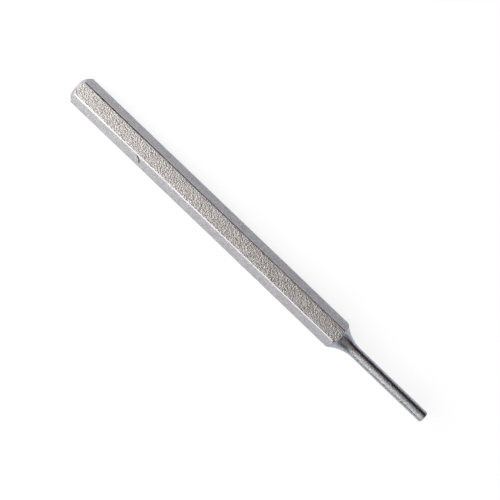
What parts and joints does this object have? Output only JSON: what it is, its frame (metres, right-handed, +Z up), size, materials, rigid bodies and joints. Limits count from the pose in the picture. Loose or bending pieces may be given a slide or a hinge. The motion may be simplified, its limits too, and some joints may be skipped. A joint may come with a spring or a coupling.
{
  "type": "pin punch",
  "caption": "Solid steel pin punch: a hexagonal bar with a chamfered struck head, turned down through a hollow neck to a straight round pin that drives pins out of holes.",
  "frame": {"origin": "under the middle of the punch, on the plane of the flat that it lies on", "axes": "+X along the punch from the struck face to the tip, +Z up out of the flat opposite the one it lies on, +Y across the bar's corners"},
  "size_m": [0.1518, 0.0104, 0.0091],
  "materials": {
    "tool_steel": "grained matt flats, ground satin neck and pin"
  },
  "bodies": {
    "root": {"punch": "tool_steel"}
  },
  "joints": []
}
